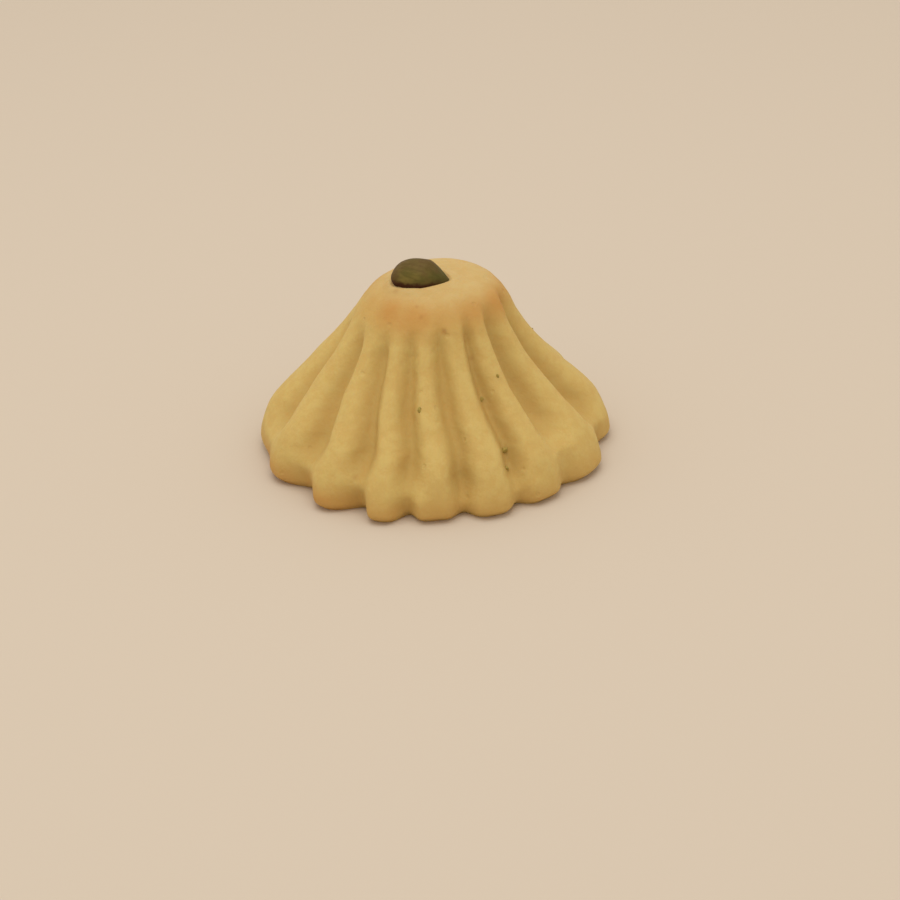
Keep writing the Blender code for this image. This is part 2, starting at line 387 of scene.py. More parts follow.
def outline_object():
    """The outline of a ridge as a line of points, from the middle of the foot up to the apex."""
    radius, _, flute, notch = profile(0)
    rows = [(radius * part, 0.0, flute * part, notch * part) for part in FOOT_RINGS]
    last = len(STATIONS) - 1
    rows += [profile(i / RINGS_PER_STATION) for i in range(last * RINGS_PER_STATION + 1)]
    edges = [(i, i + 1) for i in range(len(rows) - 1)]
    mesh = bpy.data.meshes.new("outline")
    mesh.from_pydata([(row[0], 0.0, row[1]) for row in rows], edges, [])
    for name, column in (("flute_depth", 2), ("notch_depth", 3)):
        layer = mesh.attributes.new(name, "FLOAT", "POINT")
        layer.data.foreach_set("value", [row[column] for row in rows])
    item = bpy.data.objects.new("outline", mesh)
    bpy.context.scene.collection.objects.link(item)
    return item


def lookup(wires, value, points):
    """Reads a table of points from 0 to 1, with straight lines between them."""
    curve = wires.add("ShaderNodeFloatCurve", {"Value": value})
    table = curve.mapping.curves[0].points
    table[0].location = points[0]
    table[1].location = points[-1]
    for point in points[1:-1]:
        table.new(*point)
    for point in table:
        point.handle_type = "VECTOR"
    curve.mapping.update()
    return curve.outputs[0]


def ridge_angle(wires, turned):
    """The angle at the foot of a share of all ridges, from the table of ridge widths."""
    count = len(RIDGE_WIDTHS)
    points = [(i / count, sum(RIDGE_WIDTHS[:i]) / 360.0) for i in range(count + 1)]
    angle = wires.math("MULTIPLY", lookup(wires, turned, points), math.tau)
    return wires.math("ADD", angle, FIRST_VALLEY)


def ridge_value(wires, turned, table, most):
    """Reads a table with one value for each ridge, from minus the most to the most."""
    count = len(table)
    seam = 0.5 * (table[0] + table[-1])
    points = [(0.0, seam), *(((i + 0.5) / count, value) for i, value in enumerate(table)), (1.0, seam)]
    found = lookup(wires, turned, [(at, 0.5 + 0.5 * value / most) for at, value in points])
    return wires.math("MULTIPLY", wires.math("SUBTRACT", found, 0.5), 2.0 * most)


def valley_value(wires, turned, table, most):
    """Reads a table with one value for each valley. The curve holds them as shares of the most."""
    points = [(i / len(table), value / most) for i, value in enumerate((*table, table[0]))]
    return wires.math("MULTIPLY", lookup(wires, turned, points), most)


def ridge_grid(w, given):
    """A grid with a row of points for each ring. Its columns stand closer together towards the valleys, and
    the last one lies on the first. Returns the grid, and for each point its ring, its place among all
    ridges from 0 to 1, and how far it is from the middle of its ridge."""
    calc = w.math
    size = w.add("GeometryNodeAttributeDomainSize", {"Geometry": given["Outline"]}, component="MESH")
    rings = size.outputs["Point Count"]
    all_round = calc("MULTIPLY", given["Ridges"], given["Columns per ridge"])
    columns = calc("ADD", all_round, 1.0)
    plan = {"Size X": 1.0, "Size Y": 1.0, "Vertices X": columns, "Vertices Y": rings}
    grid = w.add("GeometryNodeMeshGrid", plan).outputs["Mesh"]
    index = w.add("GeometryNodeInputIndex").outputs[0]
    column = calc("FLOOR", calc("DIVIDE", index, rings))
    ring = calc("SUBTRACT", index, calc("MULTIPLY", column, rings))
    count = calc("DIVIDE", calc("MODULO", column, all_round), given["Columns per ridge"])
    ridge = calc("FLOOR", count)
    even = calc("SUBTRACT", calc("MULTIPLY", calc("SUBTRACT", count, ridge), 2.0), 1.0)
    inner = calc("SUBTRACT", 1.0, calc("ABSOLUTE", even))
    offset = calc("SUBTRACT", 1.0, calc("POWER", inner, COLUMN_CROWDING))
    place = calc("MULTIPLY", offset, calc("SIGN", even))
    across = calc("MULTIPLY", calc("ADD", place, 1.0), 0.5)
    turned = calc("DIVIDE", calc("ADD", ridge, across), given["Ridges"])
    return grid, ring, turned, offset


def ridge_direction(w, given, turned, height, seed):
    """Each point's direction from the axis. The ridges lean over higher up, and stray a little."""
    calc = w.math
    angle = ridge_angle(w, turned)
    up = calc("MAXIMUM", calc("SUBTRACT", height, TWIST_FROM), 0.0)
    up = calc("DIVIDE", up, TWIST_TO - TWIST_FROM)
    spread = calc("MULTIPLY", given["Twist spread"], calc("SINE", angle))
    lead = calc("MULTIPLY", calc("SUBTRACT", given["Twist"], spread), up)
    angle = calc("SUBTRACT", angle, lead)
    climb = calc("ADD", calc("MULTIPLY", height, 90.0), seed)
    around = w.combine(calc("SINE", angle), calc("COSINE", angle), climb)
    stray = calc("SUBTRACT", w.noise(around, 2.2, 1.0), 0.5)
    stray = calc("MULTIPLY", calc("MULTIPLY", stray, w.span(height, *WANDER_BAND)), given["Wander"])
    return calc("ADD", angle, calc("MULTIPLY", stray, 2.0))


def flute_cut(w, given, depth, height, turned, offset, sine):
    """How deep the flutes are at each point. They start above the foot and run out below the crown, higher
    at the right than at the left."""
    calc = w.math
    middle = 0.5 * (VALLEY_END_LEFT + VALLEY_END_RIGHT)
    half = 0.5 * (VALLEY_END_RIGHT - VALLEY_END_LEFT)
    end = calc("ADD", calc("MULTIPLY", sine, half), middle)
    fade = w.span(height, calc("SUBTRACT", end, VALLEY_FADE), end, 1.0, 0.0)
    depth = calc("MULTIPLY", depth, valley_value(w, turned, VALLEY_DEPTHS, 2.0))
    depth = calc("MULTIPLY", calc("MULTIPLY", depth, fade), given["Valley depth"])
    start = calc("MULTIPLY", valley_value(w, turned, FLUTE_STARTS, 8.0), MILLIMETRE)
    depth = calc("MULTIPLY", depth, w.span(height, start, calc("ADD", start, FLUTE_GROWTH)))
    wave = calc("MULTIPLY", calc("COSINE", calc("MULTIPLY", offset, math.pi)), 0.5)
    wave = calc("SUBTRACT", 0.5, wave)
    return calc("MULTIPLY", depth, calc("POWER", wave, valley_value(w, turned, VALLEY_POWERS, 4.0)))


def notch_cut(w, given, depth, turned):
    """How deep the notches between the lobes of the foot are. They stand a little beside the valleys."""
    calc = w.math
    moved = calc("DIVIDE", valley_value(w, turned, NOTCH_SHIFTS, 1.0), given["Ridges"])
    moved = calc("ADD", turned, moved)
    beside = calc("SUBTRACT", calc("FRACT", calc("MULTIPLY", moved, given["Ridges"])), 0.5)
    after = valley_value(w, moved, NOTCH_POWERS_AFTER, 8.0)
    before = valley_value(w, moved, NOTCH_POWERS_BEFORE, 8.0)
    which = calc("GREATER_THAN", beside, 0.0)
    power = w.add("GeometryNodeSwitch", {0: which, 1: after, 2: before}, input_type="FLOAT").outputs[0]
    swell = calc("MULTIPLY", calc("COSINE", calc("MULTIPLY", beside, math.tau)), 0.5)
    swell = calc("POWER", calc("MAXIMUM", calc("SUBTRACT", 0.5, swell), 0.0), power)
    deep = calc("MULTIPLY", given["Valley depth"], valley_value(w, moved, NOTCH_DEPTHS, 2.0))
    return calc("MULTIPLY", calc("MULTIPLY", depth, deep), swell)


def soft_surface(w, given, body, seed):
    """Soft lumps all over the body but not on the foot's face, and dough pushed up round the kernel."""
    calc = w.math
    position = w.add("GeometryNodeInputPosition").outputs[0]
    aside = w.combine(z=calc("MULTIPLY", seed, 0.01))
    where = w.add("ShaderNodeVectorMath", {0: position, 1: aside}, operation="ADD").outputs[0]
    lumps = calc("MULTIPLY", calc("SUBTRACT", w.noise(where, LUMP_SCALE, 1.5), 0.5), 1.3)
    dents = calc("MULTIPLY", calc("SUBTRACT", w.noise(where, DENT_SCALE, 3.0, 0.6), 0.5), 0.32)
    rough = calc("MULTIPLY", calc("SUBTRACT", calc("ADD", lumps, dents), 0.45), given["Unevenness"])
    rough = calc("MULTIPLY", rough, w.span(w.separate(position)["Z"], *LUMP_BAND))
    info = w.add("GeometryNodeObjectInfo", {"Object": given["Kernel"]}, transform_space="RELATIVE")
    near = w.add("GeometryNodeProximity", {0: info.outputs["Geometry"]}, target_element="FACES")
    gap = near.outputs["Distance"]
    lip = calc("MULTIPLY", w.span(gap, *LIP_RISE), w.span(gap, *LIP_FALL, 1.0, 0.0))
    lip = calc("MULTIPLY", lip, given["Lip"])
    push = w.scaled(w.add("GeometryNodeInputNormal").outputs[0], calc("ADD", rough, lip))
    return w.add("GeometryNodeSetPosition", {"Geometry": body, "Offset": push}).outputs[0]


def fluted_body_tree():
    """Turns an outline into a body with ridges all round: a grid of columns that follow the ridges."""
    tree = bpy.data.node_groups.new("Fluted body", "GeometryNodeTree")
    new_socket(tree, "Outline", "NodeSocketGeometry")
    new_socket(tree, "Kernel", "NodeSocketObject")
    new_socket(tree, "Ridges", "NodeSocketInt", value=len(RIDGE_WIDTHS))
    new_socket(tree, "Columns per ridge", "NodeSocketInt", value=COLUMNS_PER_RIDGE)
    for name in ("Valley depth", "Twist", "Twist spread", "Lean", "Bend", "Unevenness", "Wander", "Lip"):
        new_socket(tree, name, "NodeSocketFloat")
    new_socket(tree, "Seed", "NodeSocketInt")
    new_socket(tree, "Dough", "NodeSocketMaterial")
    new_socket(tree, "Body", "NodeSocketGeometry", "OUTPUT")
    w = Wires(tree)
    calc = w.math
    given = w.add("NodeGroupInput").outputs
    grid, ring, turned, offset = ridge_grid(w, given)

    def outline_value(kind, value):
        inputs = {"Geometry": given["Outline"], "Value": value, "Index": ring}
        return w.add("GeometryNodeSampleIndex", inputs, data_type=kind, domain="POINT").outputs[0]

    corner = w.separate(outline_value("FLOAT_VECTOR", w.add("GeometryNodeInputPosition").outputs[0]))
    radius = corner["X"]
    height = corner["Z"]
    seed = calc("MULTIPLY", given["Seed"], 3.7)
    angle = ridge_direction(w, given, turned, height, seed)
    sine = calc("SINE", angle)
    flute = outline_value("FLOAT", w.stored("flute_depth"))
    flute = flute_cut(w, given, flute, height, turned, offset, sine)
    notch = outline_value("FLOAT", w.stored("notch_depth"))
    notch = notch_cut(w, given, notch, turned)
    r = calc("SUBTRACT", radius, calc("ADD", flute, notch))

    # Lobes reach unequally far. On the foot's face that fades towards the middle.
    low = w.span(height, 0.0, LOBE_TOP, MILLIMETRE, 0.0)
    reach = calc("MULTIPLY", ridge_value(w, turned, LOBE_REACH, 2.0), low)
    under = calc("MINIMUM", calc("DIVIDE", radius, STATIONS["foot"][0]), 1.0)
    r = calc("ADD", r, calc("MULTIPLY", reach, under))

    # The axis leans to the right and bows to the left.
    rise = calc("DIVIDE", height, STATIONS["apex"][1])
    lean = calc("MULTIPLY", given["Lean"], calc("POWER", rise, 2.0))
    bow = calc("MULTIPLY", given["Bend"], calc("SINE", calc("MULTIPLY", rise, math.pi)))
    x = calc("ADD", calc("SUBTRACT", lean, bow), calc("MULTIPLY", r, sine))
    y = calc("MULTIPLY", calc("MULTIPLY", r, calc("COSINE", angle)), -1.0)

    # The dough's material reads how deep in a valley each point is, and paints the valleys and notches
    # darker with it: partly a deeper baked tone, partly painted shade.
    valley = calc("DIVIDE", calc("ADD", flute, calc("MULTIPLY", notch, NOTCH_SHADE)), FULL_VALLEY_SHADE)
    marks = {"Geometry": grid, "Name": "valley", "Value": valley}
    marked = w.add("GeometryNodeStoreNamedAttribute", marks, data_type="FLOAT", domain="POINT")
    spots = {"Geometry": marked.outputs[0], "Position": w.combine(x, y, height)}
    placed = w.add("GeometryNodeSetPosition", spots)
    welds = {"Geometry": placed.outputs[0], "Distance": WELD_DISTANCE}
    closed = w.add("GeometryNodeMergeByDistance", welds)
    soft = soft_surface(w, given, closed.outputs[0], seed)
    smooth = w.add("GeometryNodeSetShadeSmooth", {"Geometry": soft, "Shade Smooth": True})
    real = w.add("GeometryNodeRealizeInstances", {"Geometry": smooth.outputs[0]})
    dressed = w.add("GeometryNodeSetMaterial", {"Geometry": real.outputs[0], "Material": given["Dough"]})
    w.add("NodeGroupOutput", {"Body": dressed.outputs[0]})
    return tree


def crumb_tree():
    """Sets a broken crumb, half sunk, on the body under each point, at its own size and turn."""
    tree = bpy.data.node_groups.new("Stuck crumbs", "GeometryNodeTree")
    new_socket(tree, "Points", "NodeSocketGeometry")
    new_socket(tree, "Body", "NodeSocketObject")
    new_socket(tree, "Seed", "NodeSocketInt")
    new_socket(tree, "Crumb", "NodeSocketMaterial")
    new_socket(tree, "Crumbs", "NodeSocketGeometry", "OUTPUT")
    w = Wires(tree)
    given = w.add("NodeGroupInput").outputs
    info = w.add("GeometryNodeObjectInfo", {"Object": given["Body"]}, transform_space="RELATIVE")
    near = w.add("GeometryNodeProximity", {0: info.outputs["Geometry"]}, target_element="FACES")
    points = w.add("GeometryNodeMeshToPoints", {"Mesh": given["Points"]}).outputs[0]
    seats = {"Geometry": points, "Position": near.outputs["Position"]}
    seated = w.add("GeometryNodeSetPosition", seats).outputs[0]

    ball = w.add("GeometryNodeMeshIcoSphere", {"Radius": 0.5, "Subdivisions": 3})
    place = w.add("GeometryNodeInputPosition").outputs[0]
    chip = w.math("MULTIPLY", w.math("SUBTRACT", w.noise(place, 1.9, 2.0), 0.5), 0.9)
    chips = {"Geometry": ball.outputs["Mesh"], "Offset": w.scaled(place, chip)}
    broken = w.add("GeometryNodeSetPosition", chips).outputs[0]

    size = w.stored("size")
    turns = w.add("FunctionNodeRandomValue", {"Seed": given["Seed"]}, data_type="FLOAT_VECTOR")
    for socket, value in zip(turns.inputs[:2], ((0.0, 0.0, 0.0), (math.tau, math.tau, math.tau))):
        socket.default_value = value
    width = w.math("MULTIPLY", size, CRUMB_WIDTH)
    height = w.math("MULTIPLY", size, CRUMB_HEIGHT)
    crumbs = {"Points": seated, "Instance": broken, "Scale": w.combine(size, width, height)}
    set_down = w.add("GeometryNodeInstanceOnPoints", crumbs).outputs[0]
    turned = w.add("GeometryNodeRotateInstances", {"Instances": set_down, "Rotation": turns.outputs[0]})
    real = w.add("GeometryNodeRealizeInstances", {"Geometry": turned.outputs[0]})
    dressed = w.add("GeometryNodeSetMaterial", {"Geometry": real.outputs[0], "Material": given["Crumb"]})
    w.add("NodeGroupOutput", {"Crumbs": dressed.outputs[0]})
    return tree


def grain_group():
    """Fine sandy grain of something baked or ground: a height, and a light and dark variation."""
    old = bpy.data.node_groups.get("Fine grain")
    if old:
        return old
    tree = bpy.data.node_groups.new("Fine grain", "ShaderNodeTree")
    new_socket(tree, "Grain size", "NodeSocketFloat", value=0.0004)
    new_socket(tree, "Pinholes", "NodeSocketFloat", value=0.3)
    new_socket(tree, "Height", "NodeSocketFloat", "OUTPUT")
    new_socket(tree, "Shade", "NodeSocketFloat", "OUTPUT")
    w = Wires(tree)
    given = w.add("NodeGroupInput").outputs
    where = w.add("ShaderNodeTexCoord").outputs["Object"]
    fine = w.math("DIVIDE", 1.0, given["Grain size"])
    sand = w.noise(where, fine, 3.0, 0.6)
    clots = w.noise(where, w.math("MULTIPLY", fine, 0.22), 2.0)
    cells = w.add("ShaderNodeTexVoronoi", {"Vector": where, "Scale": w.math("MULTIPLY", fine, 0.16)})
    hole = w.span(cells.outputs["Distance"], 0.10, 0.24, 1.0, 0.0)
    chosen = w.add("ShaderNodeSeparateColor", {0: cells.outputs["Color"]}).outputs[0]
    hole = w.math("MULTIPLY", hole, w.math("LESS_THAN", chosen, given["Pinholes"]))
    height = w.math("ADD", w.math("MULTIPLY", sand, 0.6), clots)
    height = w.math("SUBTRACT", height, w.math("MULTIPLY", hole, 1.2))
    shade = w.math("ADD", w.math("MULTIPLY", sand, 0.5), w.math("MULTIPLY", clots, 0.5))
    w.add("NodeGroupOutput", {"Height": height, "Shade": shade})
    return tree


def new_material(name):
    """A material with nothing but its shader and output, and a helper that wires it."""
    material = bpy.data.materials.new(name)
    material.use_nodes = True
    shader = material.node_tree.nodes["Principled BSDF"]
    return material, shader, Wires(material.node_tree)


def patch(wires, where, centre, reach):
    """1 at a spot on the biscuit, falling to 0 at this distance from it."""
    apart = wires.add("ShaderNodeVectorMath", {0: where, 1: centre}, operation="DISTANCE").outputs["Value"]
    return wires.span(apart, 0.0, reach, 1.0, 0.0)


def patches(wires, where, table, least):
    """The strongest of a table's patches at each point, and nowhere less than the least."""
    found = least
    for centre, reach, amount in table:
        one = wires.math("MULTIPLY", patch(wires, where, centre, reach), amount)
        found = wires.math("MAXIMUM", found, one)
    return found


def dough_material(look):
    material, shader, w = new_material("baked_dough")
    where = w.add("ShaderNodeTexCoord").outputs["Object"]
    z = w.separate(where)["Z"]
    valley = w.add("ShaderNodeAttribute", attribute_name="valley").outputs["Fac"]
    values = {"Grain size": DOUGH_GRAIN, "Pinholes": 0.16}
    grain = w.add("ShaderNodeGroup", values, node_tree=grain_group()).outputs
    broad = w.noise(where, 75.0, 3.0)
    blotch = w.noise(where, 260.0, 3.0, 0.6)

    # Valleys and notches darker than the crests: partly a deeper baked tone, partly painted shade.
    base = w.mix(w.span(valley, 0.15, 0.9), tuple(look.crest), tuple(look.valley))
    base = w.mix(w.span(z, *CROWN_BEGINS), base, tuple(look.crown))

    # The oven browns a band round the shoulder, more here and less there. The lower edge is darkened too,
    # partly by browning and partly as painted shade where the foot meets the floor.
    band = w.math("MULTIPLY", w.span(z, *SHOULDER_BEGINS), w.span(z, *SHOULDER_ENDS, 1.0, 0.0))
    shoulder = w.math("MULTIPLY", patches(w, where, BROWNED_PATCHES, LEAST_BROWNED), band)
    band = w.span(z, *LOWER_EDGE_ENDS, 1.0, 0.0)
    edge = w.math("MULTIPLY", band, patches(w, where, BROWNED_AND_SHADED_EDGES, LEAST_BROWNED))
    brown = w.math("MAXIMUM", shoulder, edge)
    brown = w.math("MULTIPLY", brown, w.span(w.math("ADD", broad, blotch), 0.75, 1.25, 0.75, 1.15))
    # On the lower edge the browned colour stands partly for painted shade where the foot meets the floor.
    base = w.mix(w.math("MULTIPLY", brown, look.browning), base, tuple(look.browned))

    # Light and dark mottling, then scattered specks and the larger spots.
    shade = grain["Shade"]
    mottle = w.math("ADD", w.math("MULTIPLY", blotch, 0.5), w.math("MULTIPLY", shade, 0.5))
    base = w.mix(w.span(mottle, 0.38, 0.62, 0.20, 0.0), base, tuple(look.browned))
    # The grain also darkens towards the valley colour here, as the dough's own tone.
    base = w.mix(w.span(shade, 0.40, 0.60, 0.12, 0.0), base, tuple(look.valley))
    cells = w.add("ShaderNodeTexVoronoi", {"Vector": where, "Scale": SPECK_SCALE})
    chosen = w.add("ShaderNodeSeparateColor", {0: cells.outputs["Color"]})
    rare = w.math("LESS_THAN", chosen.outputs[0], 0.045)
    dot = w.math("MULTIPLY", w.span(cells.outputs["Distance"], 0.05, 0.14, 1.0, 0.0), rare)
    dot = w.math("MAXIMUM", dot, patches(w, where, DARK_SPOTS, 0.0))
    base = w.mix(w.math("MULTIPLY", dot, 0.55), base, tuple(look.speck))
    w.join(shader.inputs["Base Color"], base)
    w.join(shader.inputs["Roughness"], w.span(shade, 0.3, 0.7, 0.86, 0.68))
    height = w.math("ADD", w.math("MULTIPLY", grain["Height"], 0.6), w.math("MULTIPLY", blotch, 1.2))
    bump = w.add("ShaderNodeBump", {"Strength": 0.85, "Distance": 0.00018, "Height": height})
    w.join(shader.inputs["Normal"], bump.outputs[0])
    shader.inputs["Specular IOR Level"].default_value = 0.25
    shader.inputs["Subsurface Weight"].default_value = 0.18
    shader.inputs["Subsurface Radius"].default_value = (1.0, 0.55, 0.22)
    shader.inputs["Subsurface Scale"].default_value = 0.0016
    return material


def kernel_material(look):
    material, shader, w = new_material("pistachio_skin")
    where = w.add("ShaderNodeTexCoord").outputs["Object"]
    place = w.add("ShaderNodeAttribute", attribute_name="kernel_place").outputs["Vector"]
    axes = w.separate(place)
    along = axes["X"]
    up = axes["Z"]
    # Streaks run the long way.
    slow = w.math("MULTIPLY", along, 1.1)
    quick = [w.math("MULTIPLY", value, 3.2) for value in (axes["Y"], up)]
    streak = w.noise(w.combine(slow, *quick), 1.4, 3.0, 0.55)
    mottle = w.noise(where, 700.0, 3.0, 0.6)
    base = w.mix(w.span(streak, 0.35, 0.65, 0.35, 1.0), tuple(look.deep), tuple(look.green))
    base = w.mix(w.span(along, -0.15, 0.55, 0.0, 0.85), base, tuple(look.deep))
    brown = w.math("ADD", w.span(along, -0.45, -0.95, 0.0, 0.8), w.span(mottle, 0.45, 0.75, 0.0, 0.5))
    brown = w.math("ADD", brown, w.span(up, 0.50, 0.90, 0.0, 0.55))
    base = w.mix(w.math("MINIMUM", brown, 1.0), base, tuple(look.skin))
    # The dough meets the kernel higher towards its point, and the colour turns dark reddish along that line,
    # fainter towards the point.
    uneven = w.math("ADD", up, w.math("MULTIPLY", w.math("SUBTRACT", mottle, 0.5), 0.35))
    uneven = w.math("SUBTRACT", uneven, w.math("MULTIPLY", along, 0.2))
    dark = w.math("MULTIPLY", w.span(uneven, 0.04, 0.27, 1.0, 0.0), w.span(along, 0.30, 0.75, 1.0, 0.25))
    base = w.mix(dark, base, tuple(look.edge))
    w.join(shader.inputs["Base Color"], base)
    w.join(shader.inputs["Roughness"], w.span(streak, 0.3, 0.7, 0.68, 0.52))
    height = w.math("ADD", streak, w.math("MULTIPLY", mottle, 0.4))
    bump = w.add("ShaderNodeBump", {"Strength": 0.4, "Distance": 0.00015, "Height": height})
    w.join(shader.inputs["Normal"], bump.outputs[0])
    shader.inputs["Specular IOR Level"].default_value = 0.12
    return material


def crumb_material(look):
    material, shader, w = new_material("ground_pistachio")
    values = {"Grain size": CRUMB_GRAIN, "Pinholes": 0.0}
    grain = w.add("ShaderNodeGroup", values, node_tree=grain_group()).outputs
    dark = tuple(0.6 * c for c in look.green)
    base = w.mix(w.span(grain["Shade"], 0.35, 0.65), dark, tuple(look.green))
    w.join(shader.inputs["Base Color"], base)
    w.join(shader.inputs["Roughness"], w.span(grain["Shade"], 0.3, 0.7, 0.8, 0.6))
    bump = w.add("ShaderNodeBump", {"Strength": 0.5, "Distance": 0.00008, "Height": grain["Height"]})
    w.join(shader.inputs["Normal"], bump.outputs[0])
    return material


def wrinkle(along, side, scale, shift):
    """Height of a wrinkle at a place along the kernel and in a direction round it."""
    return noise.noise(Vector((along * scale[0], side.y * scale[1], side.z * scale[1] + shift)))


def kernel_mesh(kernel):
    """The kernel as rings along its length: a blunt end at the left, a point at the right, and wrinkles."""
    mesh = bmesh.new()
    place = mesh.verts.layers.float_vector.new("kernel_place")
    relief = kernel.wrinkles / kernel.height
    rings = []
    for i in range(KERNEL_RINGS + 1):
        along = -math.cos(math.pi * i / KERNEL_RINGS)
        tall = wide = math.sqrt(max(1.0 - along**2, 0.0))
        if along < 0.0:
            wide = (1.0 - abs(along) ** BLUNT_FULLNESS) ** (1.0 / BLUNT_FULLNESS)
        else:
            cone = min((1.0 - along) * POINT_FULLNESS, tall)
            tall = wide = tall + (cone - tall) * along**POINT_POWER
        ring = []
        for j in range(KERNEL_SIDES):
            a = math.tau * j / KERNEL_SIDES
            side = Vector((0.0, math.cos(a), math.sin(a)))
            crease = wrinkle(along, side, CREASE_SCALE, 9.0)
            fine = wrinkle(along, side, FINE_CREASE_SCALE, 4.0)
            seam = math.exp(-(((side.z - SEAM_HEIGHT) / SEAM_WIDTH) ** 2)) * (side.y < 0.0)
            out = 1.0 - relief * (1.2 - crease * 2.4 - fine * 1.1 + SEAM_DEPTH * seam)
            y = 0.5 * kernel.width * wide * side.y * out
            z = 0.5 * kernel.height * tall * side.z * out
            v = mesh.verts.new((0.5 * kernel.length * along, y, z))
            v[place] = Vector((along, wide * side.y, tall * side.z))
            ring.append(v)
        rings.append(ring)
    for low, high in zip(rings, rings[1:]):
        for j in range(KERNEL_SIDES):
            k = (j + 1) % KERNEL_SIDES
            mesh.faces.new((low[j], low[k], high[k], high[j]))
    bmesh.ops.remove_doubles(mesh, verts=mesh.verts, dist=0.0000005)
    bmesh.ops.recalc_face_normals(mesh, faces=mesh.faces)
    turned = Euler(kernel.turned).to_matrix().to_4x4()
    mesh.transform(Matrix.Translation(Vector(kernel.centre)) @ turned)
    for face in mesh.faces:
        face.smooth = True
    data = bpy.data.meshes.new("pistachio_kernel")
    mesh.to_mesh(data)
    mesh.free()
    return data


class GHRAYBEH_OT_add_kernel(Operator):
    """Make the pistachio kernel with its wrinkled skin."""

    bl_idname = "ghraybeh.add_kernel"
    bl_label = "Add Kernel"

    def execute(self, context):
        settings = context.scene.ghraybeh_kernel
        piece = bpy.data.objects.new("pistachio_kernel", kernel_mesh(settings))
        context.scene.collection.objects.link(piece)
        piece.data.materials.append(kernel_material(settings))
        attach(piece, "root")
        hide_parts("pistachio")
        return {"FINISHED"}


class GHRAYBEH_OT_add_biscuit(Operator):
    """Make the fluted biscuit with its grain and browning."""

    bl_idname = "ghraybeh.add_biscuit"
    bl_label = "Add Biscuit"

    def execute(self, context):
        shape = context.scene.ghraybeh_biscuit
        source = outline_object()
        values = {
            "Kernel": bpy.data.objects["pistachio_kernel"],
            "Ridges": len(RIDGE_WIDTHS),
            "Columns per ridge": COLUMNS_PER_RIDGE,
            "Valley depth": shape.valley_depth,
            "Twist": shape.twist,
            "Twist spread": shape.twist_spread,
            "Lean": shape.lean,
            "Bend": shape.bend,
            "Unevenness": shape.unevenness,
            "Wander": shape.wander,
            "Lip": shape.lip,
            "Seed": shape.seed,
            "Dough": dough_material(context.scene.ghraybeh_dough),
        }
        use_tree(source, fluted_body_tree(), values)
        piece = evaluated_piece(source, "fluted_biscuit")
        mesh = bmesh.new()
        mesh.from_mesh(piece.data)
        if mesh.calc_volume(signed=True) < 0.0:
            bmesh.ops.reverse_faces(mesh, faces=mesh.faces)
        open_edges = sum(not edge.is_manifold for edge in mesh.edges)
        mesh.to_mesh(piece.data)
        mesh.free()
        if open_edges:
            raise RuntimeError(f"the biscuit has {open_edges} open edges")
        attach(piece, "root")
        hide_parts("biscuit")
        return {"FINISHED"}


class GHRAYBEH_OT_add_crumbs(Operator):
    """Scatter the few pistachio crumbs that stuck to the dough."""

    bl_idname = "ghraybeh.add_crumbs"
    bl_label = "Add Crumbs"

    def execute(self, context):
        settings = context.scene.ghraybeh_crumbs
        draw = random.Random(settings.seed)
        spots = list(STUCK_CRUMBS)
        for _ in range(settings.extra):
            angle = math.radians(draw.uniform(100.0, 260.0))
            height = draw.uniform(0.006, 0.026)
            reach = STATIONS["lip"][0] * (1.0 - 0.6 * height / STATIONS["apex"][1])
            centre = (reach * math.sin(angle), -reach * math.cos(angle), height)
            spots.append((centre, draw.uniform(0.0005, 0.0009)))
        mesh = bpy.data.meshes.new("crumb_spots")
        mesh.from_pydata([spot[0] for spot in spots], [], [])
        mesh.attributes.new("size", "FLOAT", "POINT").data.foreach_set("value", [spot[1] for spot in spots])
        source = bpy.data.objects.new("crumb_spots", mesh)
        context.scene.collection.objects.link(source)
        values = {
            "Body": bpy.data.objects["fluted_biscuit"],
            "Seed": settings.seed,
            "Crumb": crumb_material(settings),
        }
        use_tree(source, crumb_tree(), values)
        piece = evaluated_piece(source, "stuck_crumbs")
        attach(piece, "root")
        return {"FINISHED"}


class GHRAYBEH_OT_add_studio(Operator):
    """Set up the pale floor, the soft light and the camera."""

    bl_idname = "ghraybeh.add_studio"
    bl_label = "Add Studio"

    def execute(self, context):
        settings = context.scene.ghraybeh_studio
        scene = context.scene
        mesh = bpy.data.meshes.new("floor")
        corners = [(x * FLOOR_REACH, y * FLOOR_REACH, 0.0) for x, y in ((-1, -1), (1, -1), (1, 1), (-1, 1))]
        mesh.from_pydata(corners, [], [(0, 1, 2, 3)])
        floor = bpy.data.objects.new("floor", mesh)
        scene.collection.objects.link(floor)
        material, shader, _ = new_material("pale_floor")
        shader.inputs["Base Color"].default_value = (*settings.floor, 1.0)
        shader.inputs["Roughness"].default_value = 0.9
        mesh.materials.append(material)

        world = bpy.data.worlds.new("studio")
        world.use_nodes = True
        sky = world.node_tree.nodes["Background"]
        sky.inputs["Color"].default_value = (*settings.sky, 1.0)
        sky.inputs["Strength"].default_value = settings.sky_strength
        scene.world = world
        light = bpy.data.lights.new("soft_light", "AREA")
        light.size = LIGHT_SIZE
        light.energy = settings.key_power
        lamp = bpy.data.objects.new("soft_light", light)
        lamp.location = LIGHT_PLACE
        lamp.rotation_euler = (-lamp.location).to_track_quat("-Z", "Y").to_euler()
        scene.collection.objects.link(lamp)
        scene.view_settings.view_transform = "Standard"
        add_camera(scene)
        return {"FINISHED"}


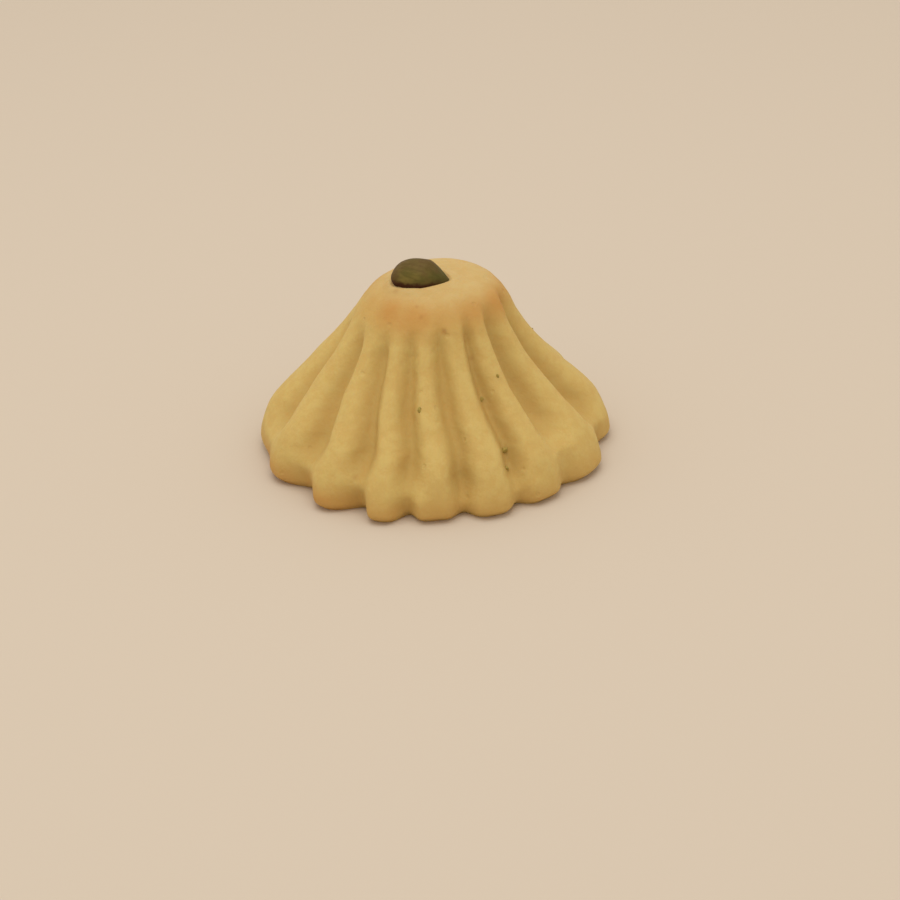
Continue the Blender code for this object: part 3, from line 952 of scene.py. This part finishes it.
def add_camera(scene):
    """Looks down at the biscuit as the photograph does. The photo leans a little, so the camera rolls."""
    camera = bpy.data.cameras.new("camera")
    camera.sensor_width = SENSOR_WIDTH
    camera.lens = SENSOR_WIDTH * FOCAL_PIXELS / PICTURE
    camera.clip_start = 0.01
    right = Vector((1.0, 0.0, 0.0))
    ahead = Vector((0.0, math.cos(CAMERA_PITCH), -math.sin(CAMERA_PITCH)))
    upward = right.cross(ahead)
    side = math.cos(CAMERA_ROLL) * right - math.sin(CAMERA_ROLL) * upward
    top = math.sin(CAMERA_ROLL) * right + math.cos(CAMERA_ROLL) * upward
    across = (FOOT_PIXEL[0] - 0.5 * PICTURE) / FOCAL_PIXELS
    down = (FOOT_PIXEL[1] - 0.5 * PICTURE) / FOCAL_PIXELS
    place = -(ahead + across * side - down * top) * FOCAL_PIXELS * PIXEL_SIZE
    turned = Matrix((side, top, -ahead)).transposed().to_4x4()
    item = bpy.data.objects.new("camera", camera)
    item.matrix_world = Matrix.Translation(place) @ turned
    scene.collection.objects.link(item)
    scene.camera = item


class GHRAYBEH_PT_panel(Panel):
    """Sizes and colours of the biscuit, and a button for each piece."""

    bl_idname = "GHRAYBEH_PT_panel"
    bl_label = "Ghraybeh"
    bl_space_type = "VIEW_3D"
    bl_region_type = "UI"
    bl_category = "Ghraybeh"

    def draw(self, context):
        layout = self.layout
        for name, group in SETTINGS.items():
            box = layout.box()
            box.label(text=name)
            settings = getattr(context.scene, group[0])
            for key in group[1].__annotations__:
                box.prop(settings, key)
        for operator in OPERATORS:
            layout.operator(operator.bl_idname)


SETTINGS = {
    "Biscuit": ("ghraybeh_biscuit", BiscuitSettings),
    "Dough": ("ghraybeh_dough", DoughSettings),
    "Kernel": ("ghraybeh_kernel", KernelSettings),
    "Crumbs": ("ghraybeh_crumbs", CrumbSettings),
    "Studio": ("ghraybeh_studio", StudioSettings),
}
OPERATORS = (
    GHRAYBEH_OT_add_kernel,
    GHRAYBEH_OT_add_biscuit,
    GHRAYBEH_OT_add_crumbs,
    GHRAYBEH_OT_add_studio,
)


def register():
    for key, group in SETTINGS.values():
        bpy.utils.register_class(group)
        setattr(bpy.types.Scene, key, PointerProperty(type=group))
    for item in (*OPERATORS, GHRAYBEH_PT_panel):
        bpy.utils.register_class(item)


def unregister():
    for item in (GHRAYBEH_PT_panel, *reversed(OPERATORS)):
        bpy.utils.unregister_class(item)
    for key, group in reversed(SETTINGS.values()):
        delattr(bpy.types.Scene, key)
        bpy.utils.unregister_class(group)


def main():
    register()
    bpy.ops.ghraybeh.add_kernel()
    bpy.ops.ghraybeh.add_biscuit()
    bpy.ops.ghraybeh.add_crumbs()
    bpy.ops.ghraybeh.add_studio()


if __name__ == "__main__":
    main()
